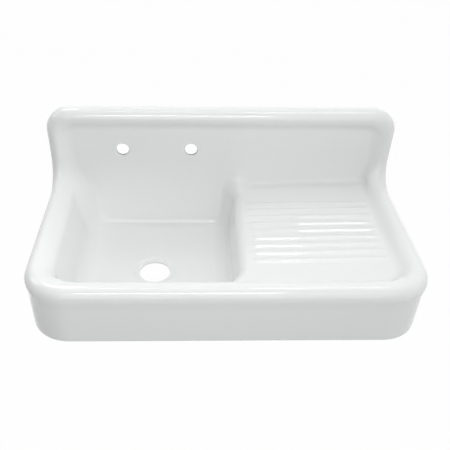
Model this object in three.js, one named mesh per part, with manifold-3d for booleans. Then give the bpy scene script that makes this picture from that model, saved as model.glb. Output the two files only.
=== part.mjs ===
// A wall-hung kitchen sink with a drainboard: one enamelled cast-iron shell with a bowl, a ridged drainboard, a
// high back and an apron, hung by two cast lugs on a steel rail that six screws hold to the wall.
// Millimetres. X runs left to right, Y runs back into the wall, Z is up. While the shell is worked out, z = 0 is
// the crest of the front rim and y = 0 is the wall. At the end the whole model is lowered so that the origin is
// the middle of the rail's wall face.
import * as THREE from 'three';
import { mergeVertices } from 'three/addons/utils/BufferGeometryUtils.js';
import Module from 'manifold-3d';

const wasm = await Module();
wasm.setup();

// ---- driving dimensions of the shell ----
const overallLength = 1016;
const overallDepth = 556;
const backHeight = 220;          // top of the back above the front rim
const apronHeight = 164;         // bottom edge of the apron below the front rim
const wallThickness = 6;
const frontCornerRadius = 112;   // seen from above
const backCornerRadius = 68;     // seen from the front
const sweepRadius = 66;          // side rims curving up into the back
const backReach = 46;            // front of the back's roll to the wall
const rollOuterRadius = 30;
const rollInnerRadius = 24;
const rimWidth = 59;             // outer face to the inner wall, at the crest
const backRollWidth = 46;        // the same round the back
const rollOverhang = 4;          // how far the apron sits in behind the roll

// ---- bowl ----
const bowlDepth = 178;           // floor at the drain, below the rim crest
const floorFall = 0.02;          // slope of the floor towards the drain
const floorFilletRadius = 40;    // floor into the left wall and the divider
const backFootRadius = 22;       // floor into the back wall
const leftWallDraft = 0.24;      // run per unit of depth
const frontWallDraft = 0.1;
const backWallDraft = 0.03;
const dividerDraft = 0.14;
const bowlCornerRadius = 76;     // upright corners at the bowl's left end
const dividerCornerRadius = 56;  // upright corners at the divider wall
const dividerX = 49.5;           // top of the divider wall, at the back
const dividerTaper = 0.025;      // its run to the left per unit of depth
const flareStart = 85;           // distance from the front wall where it starts to curve to the left
const flareLength = 130;         // twice the radius of that curve
const dividerLipRadius = 22;
const backFaceY = -22;           // front face of the back, at the rim's height

// ---- drainboard ----
const deckDepthLow = 33;         // below the rim crest, beside the bowl
const deckDepthHigh = 24;        // at the right end
const deckFilletRadius = 20;
const deckCornerRadius = 64;
const ridgeCount = 9;
const ridgePitch = 32.4;
const ridgeHeight = 3.8;
const ridgeWidth = 26;
const ridgeRoot = 3;             // how far a ridge reaches into the board
const firstRidgeY = -394;
const ridgeLeftX = 70;
const ridgeRightX = 430;

// ---- holes ----
const drainX = -196.5;
const drainY = -263;
const drainHoleRadius = 44.45;   // takes a 3 1/2 inch strainer
const drainSeatRadius = 58;
const drainSeatDepth = 3.5;
const faucetSpacing = 203.2;     // 8 inch centres
const faucetMidX = -192;
const faucetZ = 88;
const faucetHoleRadius = 19;

// ---- wall rail, lugs and screws ----
const railLength = 660;
const railHeight = 62;
const railThickness = 4;
const railLipHeight = 24;        // above the gutter's floor
const slotWidth = 6;             // gutter between plate and lip
const railZ = 150;               // middle of the rail above the rim crest
const lugSpacing = 460;
const lugWidth = 60;
const lugRise = 2;               // web above the rail's lip
const lugWeb = 11;
const lugChamfer = 3;
const legThickness = 5;
const seatGap = 0.3;
const screwRows = [50, 150, 305]; // distances of the screws from the rail's middle
const screwRise = 17;            // screws above the rail's middle
const screwRadius = 4;
const screwLength = 50;          // under the head
const screwHeadRadius = 7.5;
const screwHeadHeight = 5;
const washerRadius = 10;
const washerThickness = 1.6;
const holeClearance = 0.5;
const cutMargin = 10;            // how far a drill runs past the faces it cuts

// ---- rounded joins of half-spaces: negative is inside ----
function joinRound(a, b, radius) {
  const u = Math.max(radius - a, 0);
  const v = Math.max(radius - b, 0);
  return Math.max(radius, Math.min(a, b)) - Math.hypot(u, v);
}

function meetRound(a, b, radius) {
  const u = Math.max(radius + a, 0);
  const v = Math.max(radius + b, 0);
  return Math.min(-radius, Math.max(a, b)) + Math.hypot(u, v);
}

function smooth(from, to, value) {
  const t = Math.min(Math.max((value - from) / (to - from), 0), 1);
  return t * t * (3 - 2 * t);
}

// ---- the enamelled face of the shell, as the zero of one function ----
const halfLength = overallLength / 2;
const backFilletRadius = 26;     // the back's face into its roll
const backInnerRadius = 40;      // the face's corners, seen from the front
const cornerFade = [20, 110];    // from the left wall, along X: the bowl's corner gives way to the foot
const dividerFade = [70, 15, 60]; // before the divider, from none to all of its corner, and past it to none
const lowFade = [-60, 40];       // heights over which the bowl's left corner narrows
const highFade = [60, 120];      // heights over which the back's own fillet takes over
const deepFade = [-30, -75];     // heights over which the drainboard's fillet turns into the divider's corner
const softFade = [30, 110];      // from the left end, along X: the roll's inner edge narrows
const seatBlend = [-5, 3];       // about the drain seat's edge

function deckZ(x) {
  const share = (x - dividerX) / (halfLength - rimWidth - dividerX);
  return -deckDepthLow + (deckDepthLow - deckDepthHigh) * share;
}

function floorZ(x, y) {
  const away = Math.hypot(x - drainX, y - drainY);
  const seat = drainSeatDepth * (1 - smooth(seatBlend[0], seatBlend[1], away - drainSeatRadius));
  return -bowlDepth + floorFall * Math.max(away - drainSeatRadius, 0) - seat;
}

// The rim's crest surface: level over the sink, then curving up into the front of the back.
function crest(y, z) {
  return joinRound(z, -backReach - y, sweepRadius);
}

// Outside of the block that the sink fills: plan outline, top edge, crest and the roll's overhang.
function blockField(x, y, z) {
  const plan = meetRound(Math.abs(x) - halfLength, -overallDepth - y, frontCornerRadius);
  const outline = meetRound(plan, z - backHeight, backCornerRadius);
  const level = crest(y, z);
  const overhang = rollOverhang * smooth(rollOuterRadius * 0.75, rollOuterRadius * 2, -level);
  return meetRound(outline + overhang, level, rollOuterRadius);
}

// The radius of the inner corner between the back and what it meets: wide in the bowl's upright corners, narrow
// at the foot, and the back's own fillet higher up.
function backBlend(x, z) {
  const fromLeft = x + halfLength - rimWidth;
  const inCorner = 1 - smooth(cornerFade[0], cornerFade[1], fromLeft);
  const beforeDivider = smooth(-dividerFade[0], -dividerFade[1], x - dividerX);
  const atDivider = beforeDivider * (1 - smooth(0, dividerFade[2], x - dividerX));
  const low = 1 - smooth(lowFade[0], lowFade[1], z);
  const high = smooth(highFade[0], highFade[1], z);
  const foot = x > dividerX ? deckFilletRadius : backFootRadius;
  const corner = backFilletRadius + (bowlCornerRadius - backFilletRadius) * low;
  const level = foot + (dividerCornerRadius - foot) * atDivider;
  return (level + (corner - level) * inCorner) * (1 - high) + backFilletRadius * high;
}

// The air above the drainboard, in the bowl and in front of the back.
function airField(x, y, z) {
  const drop = Math.max(-z, 0);
  const sideWidth = backRollWidth + (rimWidth - backRollWidth) * (1 - smooth(0, sweepRadius, z));
  const left = -halfLength + sideWidth + leftWallDraft * drop - x;
  const right = x - halfLength + sideWidth;
  const front = -overallDepth + rimWidth + frontWallDraft * drop - y;
  const back = y - backFaceY + backWallDraft * drop;
  const flare = Math.max(front + flareStart, 0) ** 2 / flareLength;
  const divider = x - dividerX + dividerDraft * drop + dividerTaper * (backFaceY - y) + flare;
  const above = z - backHeight + backRollWidth;
  const top = joinRound(deckZ(x) - z, divider, dividerLipRadius);
  const leftEnd = meetRound(left, front, bowlCornerRadius);
  const rightEnd = meetRound(right, front, deckCornerRadius);
  const ends = meetRound(Math.max(leftEnd, rightEnd), above, backInnerRadius);
  const deep = smooth(deepFade[0], deepFade[1], z);
  const blend = deckFilletRadius + (dividerCornerRadius - deckFilletRadius) * deep;
  const pocket = meetRound(top, ends, blend);
  const bowl = meetRound(pocket, floorZ(x, y) - z, floorFilletRadius);
  return meetRound(bowl, back, backBlend(x, z));
}

// The whole face: the block less the air, with the roll's inner edge rounded more along the bowl's left wall.
function shellField(p) {
  const soft = (1 - smooth(softFade[0], softFade[1], p.x + halfLength)) * (1 - smooth(0, sweepRadius, p.z));
  const edge = rollInnerRadius * (1 + soft);
  return meetRound(blockField(p.x, p.y, p.z), -airField(p.x, p.y, p.z), edge);
}

const probe = 0.05;
const settleTurns = 14;
const flattest = 0.2;            // keeps a step short where the slope is small

function slopeAt(p) {
  const step = new THREE.Vector3();
  const slope = new THREE.Vector3();
  for (const axis of ['x', 'y', 'z']) {
    step.copy(p)[axis] += probe;
    const ahead = shellField(step);
    step.copy(p)[axis] -= probe;
    slope[axis] = (ahead - shellField(step)) / (2 * probe);
  }
  return slope;
}

// ---- rough points: where each grid line of the shell runs ----
const innerInset = rimWidth + 1;  // where the roll gives way to the inner walls
const innerDrop = 22;              // how deep under the crest that line starts
const tiny = 1e-6;
const sweepStartY = -backReach - sweepRadius;
const sweepStart = overallDepth + sweepStartY;   // arc length along the crest, from the front edge
const sweepEnd = sweepStart + sweepRadius * Math.PI / 2;
const topEdge = sweepEnd + backHeight - sweepRadius;
const edgeTurn = Math.atan2(backReach + sweepRadius, sweepRadius + apronHeight);

// Grid columns, left to right. They crowd where a corner is round and along the divider.
const cornerSteps = [0, 5, 13, 26, 45];
const leftColumns = cornerSteps.map((step) => -halfLength + innerInset + step);
const rightColumns = cornerSteps.map((step) => halfLength - innerInset - step).reverse();
const lipX = dividerX + 14;
const bowlLeft = leftColumns[leftColumns.length - 1];
const bowlColumns = [0.16, 0.33, 0.5, 0.67, 0.8, 0.9].map((share) => bowlLeft + (lipX - bowlLeft) * share);
const lipColumns = [34, 19, 8, 0].map((step) => lipX - step);
const deckColumns = [0.14, 0.38, 0.62, 0.86].map((share) => lipX + (rightColumns[0] - lipX) * share);
const columns = [...leftColumns, ...bowlColumns, ...lipColumns, ...deckColumns, ...rightColumns];
const lipColumn = columns.indexOf(lipX);

// Grid rows, front to back and then up the back: the arc length v of the crest at the rims, and where the same
// row runs on the drainboard (y, and rise above it) or on the back (z). The rows at the foot of the back are given
// as shares of the sweep's quarter turn and of the fillet's radius.
const frontRows = cornerSteps.map((step) => innerInset + step);
const lastFrontRow = frontRows[frontRows.length - 1];
const rowGap = (sweepStart - lastFrontRow) / 6;
const flatRows = [...frontRows, ...[1, 2, 3, 4, 5, 6].map((turn) => lastFrontRow + turn * rowGap)];
const footRows = [
  { turn: 0.14, gap: 4.4, rise: 0 },
  { turn: edgeTurn / (Math.PI / 2), gap: 3, rise: 0 },
  { turn: 0.48, gap: 1.9, rise: 0 },
  { turn: 0.6, gap: 1.1, rise: 0.15 },
  { turn: 0.7, gap: 0.55, rise: 0.45 },
  { turn: 0.79, gap: 0.2, rise: 1.1 },
  { turn: 0.88, gap: 0, rise: 2.6 },
];
const topRows = cornerSteps.map((step) => backHeight - innerInset - step).reverse();
const firstFaceRow = sweepRadius - 4;
const faceRows = [firstFaceRow, (firstFaceRow + topRows[0]) / 2];
const rows = flatRows.map((v) => ({ v, y: v - overallDepth, rise: 0 }));
for (const foot of footRows) {
  const v = sweepStart + (sweepEnd - sweepStart) * foot.turn;
  rows.push({ v, y: backFaceY - foot.gap * deckFilletRadius, rise: foot.rise * deckFilletRadius });
}
const backRow = rows.length - 1;
for (const z of [...faceRows, ...topRows]) rows.push({ v: sweepEnd + z - sweepRadius, y: backFaceY, z });
const lastColumn = columns.length - 1;
const lastRow = rows.length - 1;

// The roll's section, as insets from the outer face and depths under the crest, from the inner wall outwards. The
// last steps are shares of the way down the apron.
const rollSteps = [];
for (const turn of [60, 30]) {
  const angle = THREE.MathUtils.degToRad(turn);
  const inset = rimWidth - rollInnerRadius * (1 - Math.sin(angle));
  rollSteps.push({ inset, depth: rollInnerRadius * (1 - Math.cos(angle)) });
}
for (const turn of [90, 67.5, 45, 22.5, 0]) {
  const angle = THREE.MathUtils.degToRad(turn);
  rollSteps.push({ inset: rollOuterRadius * (1 - Math.cos(angle)), depth: rollOuterRadius * (1 - Math.sin(angle)) });
}
for (const share of [0.07, 0.17, 0.5, 1]) rollSteps.push({ inset: 0, share });

// A point at a crest arc length v and a depth under the crest surface.
function crestFrame(x, v, depth) {
  const turn = (v - sweepStart) / sweepRadius;
  if (turn <= 0) return new THREE.Vector3(x, v - overallDepth, -depth);
  if (v >= sweepEnd) return new THREE.Vector3(x, -backReach + depth, sweepRadius + v - sweepEnd);
  const reach = sweepRadius + depth;
  return new THREE.Vector3(x, sweepStartY + reach * Math.sin(turn), sweepRadius - reach * Math.cos(turn));
}

// How deep under the crest the apron's bottom edge or the wall lies.
function edgeDepth(v) {
  const turn = (v - sweepStart) / sweepRadius;
  if (turn <= 0) return apronHeight;
  if (v >= sweepEnd) return backReach;
  const toFloor = (sweepRadius + apronHeight) / Math.cos(turn);
  const toWall = (sweepRadius + backReach) / Math.sin(turn);
  return Math.min(toFloor, toWall) - sweepRadius;
}

// Moves a point near a right-angled corner onto an arc, and returns its distances from the corner's two sides. The
// smaller of the distances a and b tells the grid line the point is on. That line goes to the inset, and the point
// keeps its share of the arc. Points further along than the span keep their place on the line.
function openCorner(a, b, span, radius, inset) {
  const along = Math.abs(a - b);
  const turn = Math.PI / 4 * (1 - along / span);
  const near = along < span ? inset + radius * (1 - Math.cos(turn)) : inset;
  const far = along < span ? inset + radius * (1 - Math.sin(turn)) : Math.max(a, b);
  return a <= b ? [near, far] : [far, near];
}

// Where the grid point (column, row) lies on the unrolled crest, or where it does when its line is moved to an inset.
function unrolled(column, row, inset) {
  const x = columns[column];
  const v = rows[row].v;
  const nearTop = topEdge - v < v;
  const corner = nearTop ? backCornerRadius : frontCornerRadius;
  const fromSide = halfLength - Math.abs(x);
  const fromEnd = nearTop ? topEdge - v : v;
  const line = Math.min(fromSide, fromEnd);
  const level = inset ?? line;
  const radius = Math.max(corner - level, 0);
  const [side, end] = openCorner(fromSide, fromEnd, corner - line, radius, level);
  return { x: Math.sign(x) * (halfLength - side), v: nearTop ? topEdge - end : end };
}

const shell = { points: [], faces: [], held: [] };

function addPoint(point, held = '') {
  shell.points.push(point);
  shell.held.push(held);
  return shell.points.length - 1;
}

function addQuad(a, b, c, d) {
  shell.faces.push([a, b, c], [a, c, d]);
}

// The grid over the drainboard and the back. Its points inside the bowl's block stay unused.
function gridPoint(column, row) {
  const { x, v } = unrolled(column, row);
  const edge = column === 0 || column === lastColumn || row === 0 || row === lastRow;
  if (edge) return crestFrame(x, v, innerDrop);
  const shift = v - rows[row].v;
  if (rows[row].z !== undefined) return new THREE.Vector3(x, backFaceY, rows[row].z + shift);
  return new THREE.Vector3(x, rows[row].y + shift, deckZ(x) + rows[row].rise);
}

const grid = rows.map((_, row) => columns.map((__, column) => {
  const inBowl = column > 0 && column < lipColumn && row > 0 && row < backRow;
  return inBowl ? -1 : addPoint(gridPoint(column, row));
}));
for (let row = 0; row < lastRow; row += 1) {
  for (let column = 0; column < lastColumn; column += 1) {
    if (column < lipColumn && row < backRow) continue;
    const [a, b] = [grid[row][column], grid[row][column + 1]];
    const [c, d] = [grid[row + 1][column + 1], grid[row + 1][column]];
    const rising = (row === 0 && column === 0) || (row === lastRow - 1 && column === lastColumn - 1);
    if (rising) addQuad(a, b, c, d);
    else addQuad(b, c, d, a);
  }
}

// Walks round a block of the grid: front edge, right edge, back edge, left edge.
function walkRound(toColumn, toRow) {
  const walk = [];
  for (let column = 0; column < toColumn; column += 1) walk.push([column, 0]);
  for (let row = 0; row < toRow; row += 1) walk.push([toColumn, row]);
  for (let column = toColumn; column > 0; column -= 1) walk.push([column, toRow]);
  for (let row = toRow; row > 0; row -= 1) walk.push([0, row]);
  return walk;
}

function joinRings(outer, inner) {
  outer.forEach((a, at) => {
    const next = (at + 1) % outer.length;
    addQuad(a, outer[next], inner[next], inner[at]);
  });
}

// The roll and the apron: rings round the whole grid, out to the bottom edge and the wall.
const rimWalk = walkRound(lastColumn, lastRow);
let ring = rimWalk.map(([column, row]) => grid[row][column]);
for (const step of rollSteps) {
  const nextRing = rimWalk.map(([column, row]) => {
    const { x, v } = unrolled(column, row, step.inset);
    const depth = step.depth ?? rollOuterRadius + (edgeDepth(v) - rollOuterRadius) * step.share;
    const turn = (v - sweepStart) / sweepRadius;
    const onFloor = turn < edgeTurn + tiny ? 'z' : '';
    const onWall = turn > edgeTurn - tiny ? 'y' : '';
    return addPoint(crestFrame(x, v, depth), step.share === 1 ? onFloor + onWall : '');
  });
  joinRings(nextRing, ring);
  ring = nextRing;
}
const edgeRing = ring;

// The bowl: rings round its block of the grid, down the walls and in to the drain.
const bowlWalk = walkRound(lipColumn, backRow);
const bowlRingRadius = bowlCornerRadius * 0.8;
const wallDrops = [0.26, 0.42, 0.62, 0.79].map((share) => bowlDepth * share);
const filletSteps = [65, 40, 15].map((degrees) => {
  const angle = THREE.MathUtils.degToRad(degrees);
  const height = floorFilletRadius * (1 - Math.cos(angle));
  return { height, inset: floorFilletRadius * (1 - Math.sin(angle)) };
});

function bowlRing(drop, inset) {
  const left = -halfLength + rimWidth + leftWallDraft * drop + inset;
  const right = dividerX - dividerDraft * drop - inset;
  const front = -overallDepth + rimWidth + frontWallDraft * drop + inset;
  const back = backFaceY - backWallDraft * drop - inset;
  const sheetFront = rows[0].y;
  return bowlWalk.map(([column, row]) => {
    const shareX = (columns[column] - columns[0]) / (lipX - columns[0]);
    const shareY = (rows[row].y - sheetFront) / (backFaceY - sheetFront);
    const fromX = Math.min(shareX, 1 - shareX) * (right - left);
    const fromY = Math.min(shareY, 1 - shareY) * (back - front);
    const [nearX, nearY] = openCorner(fromX, fromY, bowlRingRadius, bowlRingRadius, 0);
    const x = shareX < 0.5 ? left + nearX : right - nearX;
    return new THREE.Vector3(x, shareY < 0.5 ? front + nearY : back - nearY, -drop);
  });
}

ring = bowlWalk.map(([column, row]) => grid[row][column]);
const firstWall = bowlRing(wallDrops[0], 0);
const bowlRings = [1 / 3, 2 / 3].map((share) => firstWall.map((point, at) => {
  return shell.points[ring[at]].clone().lerp(point, share);
}));
bowlRings.push(firstWall);
for (const drop of wallDrops.slice(1)) bowlRings.push(bowlRing(drop, 0));
for (const { height, inset } of filletSteps) bowlRings.push(bowlRing(bowlDepth - height, inset));
const lastFillet = bowlRings[bowlRings.length - 1];
const drainRing = (radius) => lastFillet.map((point) => {
  const angle = Math.atan2(point.y - drainY, point.x - drainX);
  return new THREE.Vector3(drainX + radius * Math.cos(angle), drainY + radius * Math.sin(angle), -bowlDepth);
});
const outermost = drainRing(drainSeatRadius + 8);
bowlRings.push(lastFillet.map((point, at) => point.clone().lerp(outermost[at], 0.5)));
bowlRings.push(outermost, drainRing(drainSeatRadius - 1), drainRing(drainSeatRadius - 7), drainRing(drainHoleRadius));
bowlRings.forEach((points, at) => {
  const held = at === bowlRings.length - 1 ? 'xy' : '';
  const nextRing = points.map((point) => addPoint(point, held));
  joinRings(ring, nextRing);
  ring = nextRing;
});
const holeRing = ring;

// ---- the shell: the enamelled face, the same face one wall behind it, and the edges that join them ----
// A point is moved onto the face, but not along the axes it is held on.
function settle(point, held) {
  const q = point.clone();
  const heldAxes = held.split('');
  for (let turn = 0; turn < settleTurns; turn += 1) {
    const slope = slopeAt(q);
    heldAxes.forEach((axis) => { slope[axis] = 0; });
    q.addScaledVector(slope, -shellField(q) / Math.max(slope.lengthSq(), flattest));
  }
  const inward = slopeAt(q);
  heldAxes.forEach((axis) => { inward[axis] = 0; });
  return { face: q, back: q.clone().addScaledVector(inward.normalize(), -wallThickness) };
}

const settled = shell.points.map((point, at) => settle(point, shell.held[at]));
const count = settled.length;
const allPoints = [...settled.map((pair) => pair.face), ...settled.map((pair) => pair.back)];
const shellFaces = [];
for (const [a, b, c] of shell.faces) shellFaces.push([a, b, c], [a + count, c + count, b + count]);

function closeEdge(loop) {
  loop.forEach((a, at) => {
    const b = loop[(at + 1) % loop.length];
    shellFaces.push([a, b + count, a + count], [a, b, b + count]);
  });
}

closeEdge(edgeRing.slice().reverse());
closeEdge(holeRing);

function geometryOf(points, faces) {
  const geometry = new THREE.BufferGeometry();
  const flat = points.flatMap((point) => [point.x, point.y, point.z]);
  geometry.setAttribute('position', new THREE.Float32BufferAttribute(flat, 3));
  geometry.setIndex(faces.flat());
  return geometry;
}

// ---- closed solids for cutting and joining ----
function solidOf(geometry) {
  const bare = geometry.clone();
  bare.deleteAttribute('normal');
  bare.deleteAttribute('uv');
  const merged = mergeVertices(bare, 1e-4);
  const vertProperties = new Float32Array(merged.attributes.position.array);
  return new wasm.Manifold(new wasm.Mesh({ numProp: 3, vertProperties, triVerts: new Uint32Array(merged.index.array) }));
}

function geometryFrom(solid) {
  const { numProp, vertProperties, triVerts } = solid.getMesh();
  const flat = [];
  for (let at = 0; at < vertProperties.length; at += numProp) flat.push(...vertProperties.slice(at, at + 3));
  const geometry = new THREE.BufferGeometry();
  geometry.setAttribute('position', new THREE.Float32BufferAttribute(flat, 3));
  geometry.setIndex(Array.from(triVerts));
  geometry.computeVertexNormals();
  return geometry;
}

// A cylinder along Y from one depth to another.
function barAlongY(x, z, radius, fromY, toY, sides) {
  const bar = new THREE.CylinderGeometry(radius, radius, Math.abs(toY - fromY), sides);
  bar.translate(0, (fromY + toY) / 2, 0);
  bar.translate(x, 0, z);
  return bar;
}

// An outline in the YZ plane carried along X.
function extrudeAlongX(outline, fromX, toX) {
  const shape = new THREE.Shape(outline.map(([y, z]) => new THREE.Vector2(y, z)));
  const block = new THREE.ExtrudeGeometry(shape, { depth: toX - fromX, bevelEnabled: false });
  const turned = new THREE.Matrix4().set(0, 0, 1, fromX, 1, 0, 0, 0, 0, 1, 0, 0, 0, 0, 0, 1);
  return block.applyMatrix4(turned);
}

// One ridge of the drainboard: a low rounded bar that fades out at both ends and reaches into the board.
function ridge(y) {
  const stations = [0, 0.03, 0.07, 0.5, 0.93, 0.97, 1];
  const heights = [0.15, 0.7, 1, 1, 1, 0.7, 0.15];
  const across = [-1, -0.66, -0.33, 0, 0.33, 0.66, 1];
  const points = [];
  stations.forEach((share, at) => {
    const x = ridgeLeftX + (ridgeRightX - ridgeLeftX) * share;
    const halfWidth = ridgeWidth / 2 * (0.6 + 0.4 * heights[at]);
    for (const side of across) {
      const crown = ridgeHeight * heights[at] * (0.5 + 0.5 * Math.cos(side * Math.PI));
      points.push(new THREE.Vector3(x, y + side * halfWidth, deckZ(x) + crown - 0.02));
    }
    points.push(new THREE.Vector3(x, y + halfWidth, deckZ(x) - ridgeRoot));
    points.push(new THREE.Vector3(x, y - halfWidth, deckZ(x) - ridgeRoot));
  });
  const loop = across.length + 2;
  const faces = [];
  for (let at = 0; at < stations.length - 1; at += 1) {
    for (let side = 0; side < loop; side += 1) {
      const [a, b] = [at * loop + side, at * loop + (side + 1) % loop];
      faces.push([a, a + loop, b], [b, a + loop, b + loop]);
    }
  }
  const last = (stations.length - 1) * loop;
  for (let side = 1; side < loop - 1; side += 1) {
    faces.push([0, side, side + 1], [last, last + side + 1, last + side]);
  }
  return geometryOf(points, faces);
}

// ---- the casting: shell, ridges, faucet holes and the two hanging lugs ----
const plateFront = -railThickness;
const legBack = plateFront - (slotWidth - legThickness) / 2;
const legFront = legBack - legThickness;
const lipBack = plateFront - slotWidth;
const lipFront = lipBack - railThickness;
const railBottom = railZ - railHeight / 2;
const slotFloor = railBottom + railThickness;
const lipTop = slotFloor + railLipHeight;
const webBottom = lipTop + lugRise;
const webTop = webBottom + lugWeb;
const lugReach = backFaceY + 1;
const lugOutline = [
  [legBack, slotFloor + seatGap], [legBack, webTop - lugChamfer], [legBack - lugChamfer, webTop],
  [lugReach, webTop], [lugReach, webBottom], [legFront, webBottom], [legFront, slotFloor + seatGap],
];

let casting = solidOf(geometryOf(allPoints, shellFaces));
for (let at = 0; at < ridgeCount; at += 1) casting = casting.add(solidOf(ridge(firstRidgeY + ridgePitch * at)));
for (const side of [-1, 1]) {
  const lugX = side * lugSpacing / 2;
  casting = casting.add(solidOf(extrudeAlongX(lugOutline, lugX - lugWidth / 2, lugX + lugWidth / 2)));
  const holeX = faucetMidX + side * faucetSpacing / 2;
  const hole = barAlongY(holeX, faucetZ, faucetHoleRadius, -backReach, 0, 32);
  casting = casting.subtract(solidOf(hole));
}

// ---- the rail: a plate with a gutter along its lower edge, drilled for the screws ----
const railOutline = [
  [0, railBottom], [0, railBottom + railHeight], [plateFront, railBottom + railHeight], [plateFront, slotFloor],
  [lipBack, slotFloor], [lipBack, lipTop], [lipFront, lipTop], [lipFront, railBottom],
];
const screwXs = screwRows.flatMap((x) => [-x, x]).sort((a, b) => a - b);
const screwZ = railZ + screwRise;
let rail = solidOf(extrudeAlongX(railOutline, -railLength / 2, railLength / 2));
for (const x of screwXs) {
  const drill = barAlongY(x, screwZ, screwRadius + holeClearance, cutMargin, lipFront - cutMargin, 20);
  rail = rail.subtract(solidOf(drill));
}

// A washer and a hexagon-headed wood screw, along Y.
const washerFront = plateFront - washerThickness;

function washer(x) {
  const disc = barAlongY(x, screwZ, washerRadius, plateFront, washerFront, 24);
  const bore = barAlongY(x, screwZ, screwRadius + holeClearance, cutMargin, washerFront - cutMargin, 20);
  return geometryFrom(solidOf(disc).subtract(solidOf(bore)));
}

function screw(x) {
  const tipLength = screwRadius * 2.5;
  const outline = [
    [0, washerFront - screwHeadHeight / 2], [screwRadius, washerFront - screwHeadHeight / 2],
    [screwRadius, washerFront + screwLength - tipLength], [0, washerFront + screwLength],
  ];
  const shank = new THREE.LatheGeometry(outline.map(([r, y]) => new THREE.Vector2(r, y)), 16);
  shank.translate(x, 0, screwZ);
  const head = barAlongY(x, screwZ, screwHeadRadius, washerFront, washerFront - screwHeadHeight, 6);
  return geometryFrom(solidOf(shank).add(solidOf(head)));
}

// ---- the scene graph, lowered so that the origin is the middle of the rail's wall face ----
const enamel = { color: 0xe4e7e6, roughness: 0.12, metalness: 0 };
const zinc = { color: 0x9a9c9b, roughness: 0.45, metalness: 0.9 };
const sink = new THREE.Group();
sink.position.z = -railZ;

function place(name, geometry, look) {
  const piece = new THREE.Mesh(geometry, new THREE.MeshStandardMaterial(look));
  piece.name = name;
  sink.add(piece);
}

place('sink_casting', geometryFrom(casting), enamel);
place('wall_rail', geometryFrom(rail), zinc);
screwXs.forEach((x, at) => {
  place(`rail_washer_${at + 1}`, washer(x), zinc);
  place(`rail_screw_${at + 1}`, screw(x), zinc);
});

export default sink;
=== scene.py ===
"""Kitchen sink with drainboard: the enamelled casting, the wall rail and its screws, on a pale stage."""

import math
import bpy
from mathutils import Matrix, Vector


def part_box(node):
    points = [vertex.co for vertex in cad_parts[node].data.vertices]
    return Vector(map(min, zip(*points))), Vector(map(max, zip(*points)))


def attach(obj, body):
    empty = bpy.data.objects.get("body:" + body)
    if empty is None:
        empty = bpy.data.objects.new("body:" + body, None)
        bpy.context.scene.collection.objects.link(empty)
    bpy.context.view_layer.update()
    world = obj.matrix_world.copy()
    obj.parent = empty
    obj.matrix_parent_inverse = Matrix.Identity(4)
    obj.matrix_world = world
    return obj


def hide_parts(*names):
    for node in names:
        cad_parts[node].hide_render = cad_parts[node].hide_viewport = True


bl_info = {
    "name": "Kitchen sink with drainboard",
    "version": (1, 0, 0),
    "blender": (4, 5, 0),
    "location": "3D View > Sidebar > Sink",
    "description": "Builds a wall-hung enamelled sink with a bowl, a ridged drainboard and a high back",
    "category": "Add Mesh",
}

import bpy
import numpy as np
from mathutils import Matrix

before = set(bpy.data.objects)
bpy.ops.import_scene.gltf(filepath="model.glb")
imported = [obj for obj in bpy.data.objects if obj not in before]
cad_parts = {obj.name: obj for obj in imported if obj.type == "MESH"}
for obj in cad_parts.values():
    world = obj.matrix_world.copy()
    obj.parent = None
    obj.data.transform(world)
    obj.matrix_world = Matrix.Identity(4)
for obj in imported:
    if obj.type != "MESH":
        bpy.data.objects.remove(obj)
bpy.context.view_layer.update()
rail_low, rail_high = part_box("wall_rail")

PROBE = 5e-5  # metres on either side of a point where the face's function is measured for its slope
SETTLE_TURNS = 14  # Newton steps that bring rough points onto the face
EVEN_TURNS = 24  # rounds of evening out the points on it
COARSE = 3  # the back of the shell uses every third line of the face
CORNER_LINES = 12  # grid lines from the inner line of the rim to the end of a round corner
LIP_DEGREES = (30, 60, 90)  # where three rings lie on the quarter turn of a rounded edge
WASHER_ROUND, SCREW_ROUND, DRILL_ROUND = 72, 48, 40  # points round a washer, a screw and a drill
SHELL_SHARP, STEEL_SHARP = math.radians(40), math.radians(35)  # an edge that turns more than this is sharp

# Where one shape of the face gives way to another: (from, to), in metres unless the comment says otherwise.
SEAT_FADE = (-0.005, 0.003)  # outwards over the edge of the drain's recess
TO_DIVIDER, PAST_DIVIDER = (-0.070, -0.015), (0.0, 0.060)  # across, from the divider's top
LEFT_FADE = (0.020, 0.110)  # inwards from the rim's inner wall at the left
LOW_FADE, HIGH_FADE = (-0.060, 0.040), (0.060, 0.120)  # heights on the back
DEEP_FADE = (-0.030, -0.075)  # heights in the bowl
SOFT_FADE = (0.030, 0.110)  # inwards from the left end
ROLL_FADE = (0.75, 2.0)  # depths under the crest, in outer roll radii


def length(name, description, default):
    """A property in metres."""
    return bpy.props.FloatProperty(
        name=name, description=description, default=default, min=-3.0, max=3.0, precision=4, unit="LENGTH"
    )


def share(name, description, default):
    """A property without a unit."""
    return bpy.props.FloatProperty(name=name, description=description, default=default, precision=3)


def colour(name, description, default):
    """A colour property."""
    return bpy.props.FloatVectorProperty(
        name=name, description=description, default=default, size=3, min=0.0, max=1.0, subtype="COLOR"
    )


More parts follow.
